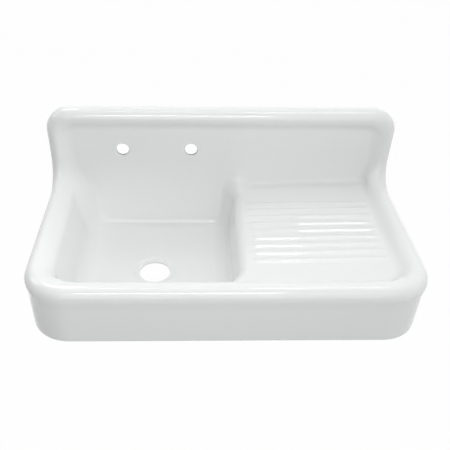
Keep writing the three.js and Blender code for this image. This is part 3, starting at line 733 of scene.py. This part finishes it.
def mesh_object(name, points, faces, materials=()):
    """Makes a mesh object at the origin and puts it in the scene."""
    mesh = bpy.data.meshes.new(name)
    mesh.from_pydata(points.tolist(), [], faces)
    for material in materials:
        mesh.materials.append(material)
    made = bpy.data.objects.new(name, mesh)
    bpy.context.scene.collection.objects.link(made)
    return made


def new_piece(name, points, faces, materials, body, replaced, face_materials=None):
    """Makes a smooth piece that rides on a body, from points whose heights count from the rim's crest."""
    drop = bpy.context.scene.sink.mount.rail_rise
    piece = mesh_object(name, points - [0.0, 0.0, drop], faces, materials)
    mesh = piece.data
    mesh.polygons.foreach_set("use_smooth", np.ones(len(mesh.polygons), bool))
    if face_materials is not None:
        mesh.polygons.foreach_set("material_index", face_materials.astype(np.int32))
    mesh.update()
    mesh.validate()
    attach(piece, body)
    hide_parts(*replaced)
    return piece


def steel_piece(name, points, faces, replaced):
    """Makes a zinc-plated piece that stays at the wall."""
    zinc = [named_finish("zinc_plate")]
    return new_piece(name, points, faces, zinc, "wall_mount", [replaced])


def outward(points, faces):
    """The faces, turned round if their volume, a sixth of the sum of a . (b x c), is negative."""
    fans = np.array([(face[0], face[at], face[at + 1]) for face in faces for at in range(1, len(face) - 1)])
    a, b, c = points[fans[:, 0]], points[fans[:, 1]], points[fans[:, 2]]
    volume = (a * np.cross(b, c)).sum() / 6.0
    return faces if volume > 0 else [face[::-1] for face in faces]


def tube_faces(rings, around, closed=False):
    """Quads between closed rings of points. The first and last ring meet, or each has a flat face."""
    index = np.arange(rings * around).reshape(rings, around)
    index = np.concatenate([index, index[:, :1]], axis=1)
    if closed:
        return quads_of(np.concatenate([index, index[:1]]), None).tolist()
    return quads_of(index, None).tolist() + [index[0, :-1].tolist(), index[-1, :-1][::-1].tolist()]


def inset_corners(corners, inset):
    """A polygon's corners after each side has moved inwards by the inset. The corners run anticlockwise."""
    side = unit(np.roll(corners, -1, axis=0) - corners)
    after = np.stack([-side[:, 1], side[:, 0]], axis=1)
    before = np.roll(after, 1, axis=0)
    return corners + inset * (before + after) / (1.0 + (before * after).sum(axis=1, keepdims=True))


def rounded_outline(corners, radii, steps):
    """A polygon with an arc in each corner: its centre lies on the bisector, and its points turn evenly from
    one side to the other. A negative radius marks a hollow corner, and only its size counts."""
    before = unit(np.roll(corners, 1, axis=0) - corners)
    after = unit(np.roll(corners, -1, axis=0) - corners)
    radii = np.abs(radii)
    half = 0.5 * np.arccos(np.clip((before * after).sum(axis=1), -1.0, 1.0))
    centre = corners + unit(before + after) * (radii / np.sin(half))[:, None]
    reach = (radii / np.tan(half))[:, None]
    turn = np.linspace(0.0, 1.0, steps + 1)[None, :, None]
    start, end = (corners + before * reach - centre)[:, None], (corners + after * reach - centre)[:, None]
    return (centre[:, None] + unit(start * (1 - turn) + end * turn) * radii[:, None, None]).reshape(-1, 2)


def bar_along_x(corners, radii, half, edge, end_round=0.0, lowered=()):
    """A rounded outline in Y and Z carried along X from -half to half. Its sides come in on a quarter circle
    of the edge radius at both ends, and the corners named in lowered come down on one of the end's radius."""
    short = 1 - np.sin(np.radians(np.linspace(0.0, 90.0, 7)))
    reach = np.unique(np.round(np.concatenate([half - end_round * short, half - edge * short]), 7))
    rings = []
    for out in reach:
        inset = edge - math.sqrt(max(edge**2 - max(out - half + edge, 0.0) ** 2, 0.0))
        drop = end_round - math.sqrt(max(end_round**2 - max(out - half + end_round, 0.0) ** 2, 0.0))
        moved = np.array(corners, float)
        moved[list(lowered), 1] -= drop
        outline = rounded_outline(inset_corners(moved, inset), np.asarray(radii) - inset, steps=5)
        rings.append(np.column_stack([np.full(len(outline), out), outline]))
    right = np.stack(rings)
    points = np.concatenate([right[::-1] * [-1, 1, 1], right])
    faces = tube_faces(len(points), points.shape[1])
    points = points.reshape(-1, 3)
    return points, outward(points, faces)


def rail_lines(mount):
    """The rail's and the lugs' heights and depths, from the rim's crest and the wall."""
    bottom = mount.rail_rise - mount.rail_height / 2
    slot_floor = bottom + mount.plate
    lip_top = slot_floor + mount.lip_height
    lip_back = -mount.plate - mount.slot_width
    leg_back = -mount.plate - (mount.slot_width - mount.leg) / 2
    return bottom, slot_floor, lip_top, lip_back, leg_back


def lug(sink, side):
    """One hanging lug: a hook whose web grows out of the back of the shell and widens where it meets it."""
    mount, shell = sink.mount, sink.shell
    _, slot_floor, lip_top, _, leg_back = rail_lines(mount)
    leg_front, foot = leg_back - mount.leg, slot_floor + mount.seat_gap
    web_bottom = lip_top + mount.lug_rise
    web_top = web_bottom + mount.lug_web
    skin = shell.back_face + shell.wall
    low, high = web_bottom - mount.lug_spread, web_top + mount.lug_spread
    # The corners measured from the skin are those of the web's foot, which stands in the casting's wall.
    corners = [
        (leg_back, foot), (leg_back, web_top), (skin - 0.0025, web_top), (skin - 0.0080, high),
        (skin - 0.0045, low), (skin - 0.0006, low), (skin + 0.0002, web_bottom),
        (leg_front, web_bottom), (leg_front, foot),
    ]
    radii = [0.0017, 0.0050, -0.0045, 0.0012, 0.0012, 0.0008, -0.0038, -0.0020, 0.0017]
    points, faces = bar_along_x(corners, radii, mount.lug_width / 2, edge=0.0012)
    in_foot = points[:, 1] < skin + mount.lug_flare
    points[in_foot, 0] += np.sign(points[in_foot, 0]) * mount.lug_flare
    return points + [side * mount.lug_spacing / 2, 0.0, 0.0], faces


def screw_places():
    """Where the screws stand along the rail: the middle of each one's box in the frame."""
    boxes = [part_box(f"rail_screw_{number}") for number in range(1, 7)]
    return [(low[0] + high[0]) / 2 for low, high in boxes]


def turns_of(count):
    """Angles evenly round a full turn."""
    return np.linspace(0.0, 2 * np.pi, count, endpoint=False)


def turned_points(mount, x, radius, depth, turn):
    """Points at a radius and a turn about a screw's axis, and at a depth along it."""
    height = mount.rail_rise + mount.screw_rise
    points = (x + radius * np.cos(turn), depth, height + radius * np.sin(turn))
    return np.stack(np.broadcast_arrays(*points), axis=-1).reshape(-1, 3)


def washer(mount, x):
    """A stamped washer: a rounded square outline of radius and depth, turned about the screw."""
    bore = mount.screw_radius + mount.screw_gap
    back, front = -mount.plate, -mount.plate - mount.washer
    rim = mount.washer_radius
    corners = np.array([(bore, front), (rim, front), (rim, back), (bore, back)])
    outline = rounded_outline(corners, np.array([0.0003, 0.0006, 0.0002, 0.0002]), steps=3)
    points = turned_points(mount, x, outline[:, 0], outline[:, 1], turns_of(WASHER_ROUND)[:, None])
    return points, outward(points, tube_faces(WASHER_ROUND, len(outline), closed=True))


def screw(mount, x):
    """A hexagon-headed wood screw as a radius over turn and depth: the head is the lesser of a hexagon and a
    cone, the thread is a ridge that climbs one pitch a turn over a core, and both run out at the point."""
    turn = turns_of(SCREW_ROUND)[None, :]
    seat = -mount.plate - mount.washer
    blunt = 0.985  # share of the radius left at the hexagon's worn corners and under the head

    # The head, at depths below its outer face. A cone of 30 degrees cuts the hexagon's corners.
    apothem = mount.head_radius * math.cos(math.pi / 6)
    flat = (turn + math.pi / 6) % (math.pi / 3) - math.pi / 6
    hexagon = np.minimum(apothem / np.cos(flat), mount.head_radius * blunt)
    rise = np.array([0.0, 0.0001, 0.0003, 0.0005, 0.0007, 0.0009, 0.0012, 0.0030, 0.0048, 0.0050])[:, None]
    cone = apothem * 0.93 + rise * math.sqrt(3.0)
    cone[0] = apothem * 0.90
    head = np.minimum(hexagon, cone)
    head[-1] *= blunt

    # The shank, at lengths under the head: plain, then threaded, then tapering to the point.
    plain_radius, core_radius = mount.screw_radius * 0.97, mount.screw_radius * 0.70
    plain_end, point, ridge_half = 0.016, 0.011, 0.26  # the last one in pitches
    threaded = np.arange(plain_end, mount.screw_length, mount.thread_pitch / 12)
    along = np.concatenate([[0.0, 0.004, 0.010], threaded, [mount.screw_length]])[:, None]
    taper = np.clip((mount.screw_length - along) / point, 0.0, 1.0) ** 0.6
    grown = smooth(plain_end, plain_end + mount.thread_pitch, along)
    phase = (along / mount.thread_pitch - turn / (2 * np.pi)) % 1.0
    ridge = np.clip(1.0 - np.abs(phase - 0.5) / ridge_half, 0.0, 1.0)
    core = plain_radius + (core_radius - plain_radius) * smooth(plain_end - 0.001, plain_end + 0.002, along)
    shank = (core + (mount.screw_radius - core) * ridge * grown) * taper + 0.0001

    radius = np.concatenate([head, shank])
    depth = np.concatenate([seat - mount.head_height + rise, seat + along])
    points = turned_points(mount, x, radius, depth, turn)
    return points, outward(points, tube_faces(*radius.shape))


# ---- finishes ----

RIPPLE_INPUTS = ("Broad Scale", "Fine Scale", "Broad Height", "Fine Height")


def node(tree, kind, place, **values):
    """A shader node with its inputs set by name."""
    made = tree.nodes.new(kind)
    made.location = place
    for name, value in values.items():
        made.inputs[name.replace("_", " ")].default_value = value
    return made


def math_node(tree, operation, place, *inputs):
    """The output of a math node whose inputs are linked to the sockets or set to the numbers given."""
    made = node(tree, "ShaderNodeMath", place)
    made.operation = operation
    for socket, value in zip(made.inputs, inputs):
        if isinstance(value, bpy.types.NodeSocket):
            tree.links.new(value, socket)
        else:
            socket.default_value = value
    return made.outputs[0]


def ripple_group():
    """Shader group: two sizes of soft noise, as a height in metres and as a mask from 0 to 1."""
    tree = bpy.data.node_groups.new("Ripple", "ShaderNodeTree")
    for name in RIPPLE_INPUTS:
        tree.interface.new_socket(name, in_out="INPUT", socket_type="NodeSocketFloat")
    tree.interface.new_socket("Height", in_out="OUTPUT", socket_type="NodeSocketFloat")
    tree.interface.new_socket("Mask", in_out="OUTPUT", socket_type="NodeSocketFloat")
    start = tree.nodes.new("NodeGroupInput")
    end = tree.nodes.new("NodeGroupOutput")
    coordinates = node(tree, "ShaderNodeTexCoord", (-600, 0))
    broad = node(tree, "ShaderNodeTexNoise", (-400, 100), Detail=1.5, Roughness=0.45)
    fine = node(tree, "ShaderNodeTexNoise", (-400, -200), Detail=3.0, Roughness=0.55)
    for noise, scale in ((broad, "Broad Scale"), (fine, "Fine Scale")):
        tree.links.new(coordinates.outputs["Object"], noise.inputs["Vector"])
        tree.links.new(start.outputs[scale], noise.inputs["Scale"])
    heights = [math_node(tree, "MULTIPLY", (-150, 0), noise.outputs["Fac"], start.outputs[size])
               for noise, size in ((broad, "Broad Height"), (fine, "Fine Height"))]
    tree.links.new(math_node(tree, "ADD", (50, 0), *heights), end.inputs["Height"])
    tree.links.new(fine.outputs["Fac"], end.inputs["Mask"])
    return tree


def finish(name, base, darker, metallic, specular, rough, ripple):
    """A material: its colour and roughness follow the ripple's mask, and its bump the ripple's height."""
    material = bpy.data.materials.new(name)
    material.use_nodes = True
    tree = material.node_tree
    shader = tree.nodes["Principled BSDF"]
    group = node(tree, "ShaderNodeGroup", (-900, 0))
    group.node_tree = bpy.data.node_groups.get("Ripple") or ripple_group()
    for socket, value in zip(RIPPLE_INPUTS, ripple):
        group.inputs[socket].default_value = value
    ramp = tree.nodes.new("ShaderNodeValToRGB")
    ramp.color_ramp.elements[0].position, ramp.color_ramp.elements[1].position = 0.25, 0.75
    ramp.color_ramp.elements[0].color = (*[c * darker for c in base], 1.0)
    ramp.color_ramp.elements[1].color = (*base, 1.0)
    spread = node(tree, "ShaderNodeMapRange", (-500, -200))
    spread.inputs["To Min"].default_value, spread.inputs["To Max"].default_value = rough
    bump = node(tree, "ShaderNodeBump", (-300, -400), Strength=1.0, Distance=1.0)
    tree.links.new(group.outputs["Mask"], ramp.inputs["Fac"])
    tree.links.new(group.outputs["Mask"], spread.inputs["Value"])
    tree.links.new(group.outputs["Height"], bump.inputs["Height"])
    tree.links.new(ramp.outputs["Color"], shader.inputs["Base Color"])
    tree.links.new(spread.outputs["Result"], shader.inputs["Roughness"])
    tree.links.new(bump.outputs["Normal"], shader.inputs["Normal"])
    shader.inputs["Metallic"].default_value = metallic
    shader.inputs["Specular IOR Level"].default_value = specular
    return material


def named_finish(name):
    """One of the three finishes, made once."""
    made = bpy.data.materials.get(name)
    if made:
        return made
    colours = bpy.context.scene.sink.finish
    if name == "fused_enamel":
        return finish(name, colours.enamel, darker=0.985, metallic=0.0, specular=0.5, rough=(0.025, 0.06),
                      ripple=(14.0, 160.0, 1.3e-4, 2e-6))
    if name == "coated_iron":
        return finish(name, colours.iron, darker=0.55, metallic=0.0, specular=0.4, rough=(0.55, 0.8),
                      ripple=(60.0, 900.0, 4e-4, 2.5e-4))
    return finish("zinc_plate", colours.zinc, darker=0.8, metallic=1.0, specular=0.5, rough=(0.28, 0.5),
                  ripple=(40.0, 700.0, 2e-5, 1.5e-5))


# ---- the stage ----

# The lamps: name, setting with the power, place, length and width. All of them face the same point.
LAMPS = (
    ("light_in_front", "front_light", (0.0, -1.80, 1.35), (2.4, 0.7)),
    ("light_low_in_front", "low_light", (0.0, -2.20, 0.50), (2.0, 0.4)),
    ("light_at_left", "left_light", (-1.70, 0.10, 0.90), (0.8, 0.6)),
    ("light_at_rear_left", "rear_light", (-1.00, 0.60, 1.60), (0.6, 0.6)),
    ("strip_in_front", "front_strip", (-0.135, -1.42, 1.35), (1.13, 0.12)),
    ("strip_low_in_front", "low_strip", (-0.26, -2.60, 1.35), (1.65, 0.10)),
    ("strip_over_bowl", "bowl_strip", (-0.245, -0.06, 1.35), (0.73, 0.03)),
    ("strip_over_board", "board_strip", (0.70, 0.00, 1.35), (0.5, 0.12)),
    ("box_over_board", "board_box", (0.31, -0.135, 1.35), (0.26, 0.11)),
)
LAMP_AIM = (0.0, -0.28, -0.2)
FLOOR_HALF = 12.0  # half the side of the floor
WHITE, GREY, COOL = (1.0, 1.0, 1.0, 1.0), (0.8, 0.8, 0.8, 1.0), (0.97, 0.985, 1.0, 1.0)


def seen_plainly(tree):
    """One where a ray comes from the camera, a reflection or glass, and nought where it gathers light."""
    path = node(tree, "ShaderNodeLightPath", (-800, 200))
    flag = path.outputs["Is Camera Ray"]
    for kind in ("Is Glossy Ray", "Is Transmission Ray"):
        flag = math_node(tree, "MAXIMUM", (-500, 200), flag, path.outputs[kind])
    return flag


def mix_shaders(tree, factor, first, second, output):
    """Sends a mix of two shaders to the output, with the second one's share given by the factor."""
    mixed = node(tree, "ShaderNodeMixShader", (200, 0))
    tree.links.new(factor, mixed.inputs[0])
    tree.links.new(first.outputs[0], mixed.inputs[1])
    tree.links.new(second.outputs[0], mixed.inputs[2])
    tree.links.new(mixed.outputs[0], tree.nodes[output].inputs["Surface"])


def surroundings(tree, stage):
    """Strength of the surroundings in a direction: even, plus three lobes that fall off as the cosine."""
    coordinates = node(tree, "ShaderNodeTexCoord", (-1200, -300))
    apart = node(tree, "ShaderNodeSeparateXYZ", (-1000, -300))
    tree.links.new(coordinates.outputs["Generated"], apart.inputs[0])
    total = stage.even
    for axis, strength in (("X", stage.from_right), ("Y", stage.from_behind), ("Z", stage.from_above)):
        facing = math_node(tree, "MAXIMUM", (-800, -300), apart.outputs[axis], 0.0)
        total = math_node(tree, "MULTIPLY_ADD", (-600, -300), facing, strength, total)
    return total


def placed(right, up, back, place):
    """The matrix that turns X, Y and Z to three directions and brings the origin to a place."""
    turned = np.eye(4)
    turned[:3] = np.stack([right, up, back, place], axis=1)
    return Matrix(turned.tolist())


def soft_lamp(name, place, size, power):
    """A rectangular lamp that faces the middle of the sink, its long side level."""
    lamp = bpy.data.lights.new(name, "AREA")
    lamp.shape = "RECTANGLE"
    lamp.size, lamp.size_y = size
    lamp.energy = power
    holder = bpy.data.objects.new(name, lamp)
    towards = unit(np.array(LAMP_AIM) - place)
    level = unit(np.array([1.0, 0.0, 0.0]) - towards * towards[0])
    holder.matrix_world = placed(level, np.cross(-towards, level), -towards, place)
    bpy.context.scene.collection.objects.link(holder)


def aimed_camera(scene, stage):
    """The scene's camera: turned right by the yaw, down by the pitch, and then about its own axis."""
    yaw, pitch, roll = (math.radians(a) for a in (stage.yaw, stage.pitch, stage.roll))
    ahead = np.array([math.sin(yaw) * math.cos(pitch), math.cos(yaw) * math.cos(pitch), -math.sin(pitch)])
    level = np.array([math.cos(yaw), -math.sin(yaw), 0.0])
    upright = np.cross(level, ahead)
    right = math.cos(roll) * level + math.sin(roll) * upright
    up = math.cos(roll) * upright - math.sin(roll) * level
    lens = bpy.data.cameras.new("camera")
    lens.lens, lens.shift_x, lens.shift_y = stage.lens, stage.shift_x, stage.shift_y
    camera = bpy.data.objects.new("camera", lens)
    camera.matrix_world = placed(right, up, -ahead, (stage.camera_x, stage.camera_y, stage.camera_z))
    scene.collection.objects.link(camera)
    scene.camera = camera


def studio_world(scene, stage):
    """The scene's world: dim, cool surroundings as light, and plain white as it is seen."""
    scene.world = bpy.data.worlds.new("studio")
    scene.world.use_nodes = True
    tree = scene.world.node_tree
    dim = tree.nodes["Background"]
    dim.inputs["Color"].default_value = COOL
    tree.links.new(surroundings(tree, stage), dim.inputs["Strength"])
    white = node(tree, "ShaderNodeBackground", (0, -200), Strength=1.0, Color=WHITE)
    mix_shaders(tree, seen_plainly(tree), dim, white, "World Output")


def pale_floor(stage):
    """The floor: a matt grey square that is seen as nearly plain white."""
    material = bpy.data.materials.new("pale_floor")
    material.use_nodes = True
    tree = material.node_tree
    matt = tree.nodes["Principled BSDF"]
    matt.inputs["Base Color"].default_value = GREY
    matt.inputs["Roughness"].default_value = 0.9
    glow = node(tree, "ShaderNodeEmission", (0, -300), Strength=1.0)
    share_seen = math_node(tree, "MULTIPLY", (-150, 300), seen_plainly(tree), stage.floor_white)
    mix_shaders(tree, share_seen, matt, glow, "Material Output")
    corners = FLOOR_HALF * np.array([[-1, -1, 0], [1, -1, 0], [1, 1, 0], [-1, 1, 0]])
    return mesh_object("floor", corners + [0, 0, stage.floor_drop], [[0, 1, 2, 3]], [material])


# ---- operators ----


class SINK_OT_casting(bpy.types.Operator):
    """The casting: its enamelled face, and one wall behind it the iron back, joined along every edge"""

    bl_idname = "sink.casting"
    bl_label = "Sink casting"

    def execute(self, context):
        sink = context.scene.sink
        face, skin, loops = shell_skin(sink)
        points, free = np.concatenate(skin.points), np.concatenate(skin.free)
        fixed, behind = np.concatenate(skin.fixed), np.concatenate(skin.behind)
        quads = [oriented(face, points, quads_of(index, cells)) for index, cells in skin.patches]
        fine = np.concatenate(quads)
        given = ~np.isnan(behind[:, :1])
        points = np.where(given, points, face.settle(points, free, SETTLE_TURNS))
        points = evened(face, points, free, fixed, fine, EVEN_TURNS)
        behind = np.where(given, behind, points - unit(face.slope(points)) * sink.shell.wall)

        # The back has the quads of every third line, turned the other way round.
        coarse = []
        for (index, cells), front in zip(skin.patches, quads):
            few = quads_of(index[::COARSE, ::COARSE], None if cells is None else cells[::COARSE, ::COARSE])
            unturned = (front[0] == quads_of(index, cells)[0]).all()
            coarse.append(few[:, ::-1] if unturned else few)
        kept, numbers = np.unique(np.concatenate(coarse), return_inverse=True)
        back = numbers.reshape(-1, 4) + len(points)
        place = np.full(len(points), -1)
        place[kept] = np.arange(len(kept)) + len(points)
        every = np.concatenate([points, behind[kept]])

        # The strips at the apron's edge and the drain are enamelled, and those at the faucet holes are iron.
        groups = [fine, back] + [edge_strip(loop, place[loop[::COARSE]], fine) for loop in loops]
        iron = [0, 1, 0, 0, 1, 1]
        faces = [quad for group in groups for quad in group.tolist()]
        for side in (-1, 1):
            lug_points, lug_faces = lug(sink, side)
            faces += [[corner + len(every) for corner in lug_face] for lug_face in lug_faces]
            every = np.concatenate([every, lug_points])
            groups.append(lug_faces)
            iron.append(1)
        materials = [named_finish("fused_enamel"), named_finish("coated_iron")]
        face_materials = np.repeat(iron, [len(group) for group in groups])
        piece = new_piece("sink_shell", every, faces, materials, "sink", ["sink_casting"],
                          face_materials)
        piece.data.set_sharp_from_angle(angle=SHELL_SHARP)
        return {"FINISHED"}


class SINK_OT_rail(bpy.types.Operator):
    """The wall rail: a steel plate bent into a gutter along its lower edge, and drilled for the screws"""

    bl_idname = "sink.rail"
    bl_label = "Wall rail"

    def execute(self, context):
        mount = context.scene.sink.mount
        bottom, slot_floor, lip_top, lip_back, _ = rail_lines(mount)
        top, plate_front, lip_front = bottom + mount.rail_height, -mount.plate, lip_back - mount.plate
        corners = [
            (0.0, bottom), (0.0, top), (plate_front, top), (plate_front, slot_floor), (lip_back, slot_floor),
            (lip_back, lip_top), (lip_front, lip_top), (lip_front, bottom),
        ]
        radii = [0.0055, 0.0006, 0.0006, -0.0015, -0.0015, 0.0008, 0.0008, 0.0055]
        points, faces = bar_along_x(
            corners, radii, mount.rail_length / 2, edge=0.0004, end_round=0.006, lowered=(1, 2, 5, 6)
        )
        piece = steel_piece("bent_rail", points, faces, "wall_rail")

        # One mesh holds a drill for each screw, from in front of the rail to behind it.
        radius, through = mount.screw_radius + mount.screw_gap, np.array([-0.03, 0.01])[:, None]
        drills = [turned_points(mount, x, radius, through, turns_of(DRILL_ROUND)) for x in screw_places()]
        drill_faces = [[corner + number * 2 * DRILL_ROUND for corner in ring_face]
                       for number in range(len(drills)) for ring_face in tube_faces(2, DRILL_ROUND)]
        drill_points = np.concatenate(drills) - [0.0, 0.0, mount.rail_rise]
        tool = mesh_object("drills", drill_points, outward(drill_points, drill_faces))
        cut = piece.modifiers.new("screw holes", "BOOLEAN")
        cut.object, cut.operation, cut.solver = tool, "DIFFERENCE", "EXACT"
        whole = piece.data
        piece.data = bpy.data.meshes.new_from_object(piece.evaluated_get(context.evaluated_depsgraph_get()))
        piece.modifiers.clear()
        bpy.data.objects.remove(tool)
        bpy.data.meshes.remove(whole)
        piece.data.set_sharp_from_angle(angle=STEEL_SHARP)
        return {"FINISHED"}


class SINK_OT_screws(bpy.types.Operator):
    """The six hexagon-headed screws and their washers"""

    bl_idname = "sink.screws"
    bl_label = "Screws and washers"

    def execute(self, context):
        mount = context.scene.sink.mount
        for number, x in enumerate(screw_places(), 1):
            for name, make in (("washer", washer), ("screw", screw)):
                points, faces = make(mount, x)
                piece = steel_piece(f"{name}_{number}", points, faces, f"rail_{name}_{number}")
                piece.data.set_sharp_from_angle(angle=STEEL_SHARP)
        return {"FINISHED"}


class SINK_OT_stage(bpy.types.Operator):
    """The floor, the soft light and the camera"""

    bl_idname = "sink.stage"
    bl_label = "Stage"

    def execute(self, context):
        stage = context.scene.sink.stage
        scene = context.scene
        scene.view_settings.view_transform = "Standard"
        aimed_camera(scene, stage)
        studio_world(scene, stage)
        for name, power, place, size in LAMPS:
            soft_lamp(name, place, size, getattr(stage, power))
        floor = pale_floor(stage)
        return {"FINISHED"}


class SINK_PT_panel(bpy.types.Panel):
    """Lists the pieces of the sink and the stage"""

    bl_label = "Kitchen sink"
    bl_idname = "SINK_PT_panel"
    bl_space_type = "VIEW_3D"
    bl_region_type = "UI"
    bl_category = "Sink"

    def draw(self, context):
        for operator in OPERATORS:
            self.layout.operator(operator.bl_idname)


OPERATORS = (SINK_OT_casting, SINK_OT_rail, SINK_OT_screws, SINK_OT_stage)
GROUPS = (
    ShellSizes, BowlSizes, BoardSizes, HoleSizes, MountSizes, FinishSettings, StageSettings, SinkSettings,
)


def register():
    """Registers the settings, the operators and the panel."""
    for kind in (*GROUPS, *OPERATORS, SINK_PT_panel):
        bpy.utils.register_class(kind)
    bpy.types.Scene.sink = bpy.props.PointerProperty(type=SinkSettings)


def unregister():
    """Takes them away again."""
    del bpy.types.Scene.sink
    for kind in reversed((*GROUPS, *OPERATORS, SINK_PT_panel)):
        bpy.utils.unregister_class(kind)


def main():
    """Builds every piece and the stage."""
    register()
    bpy.ops.sink.casting()
    bpy.ops.sink.rail()
    bpy.ops.sink.screws()
    bpy.ops.sink.stage()


if __name__ == "__main__":
    main()
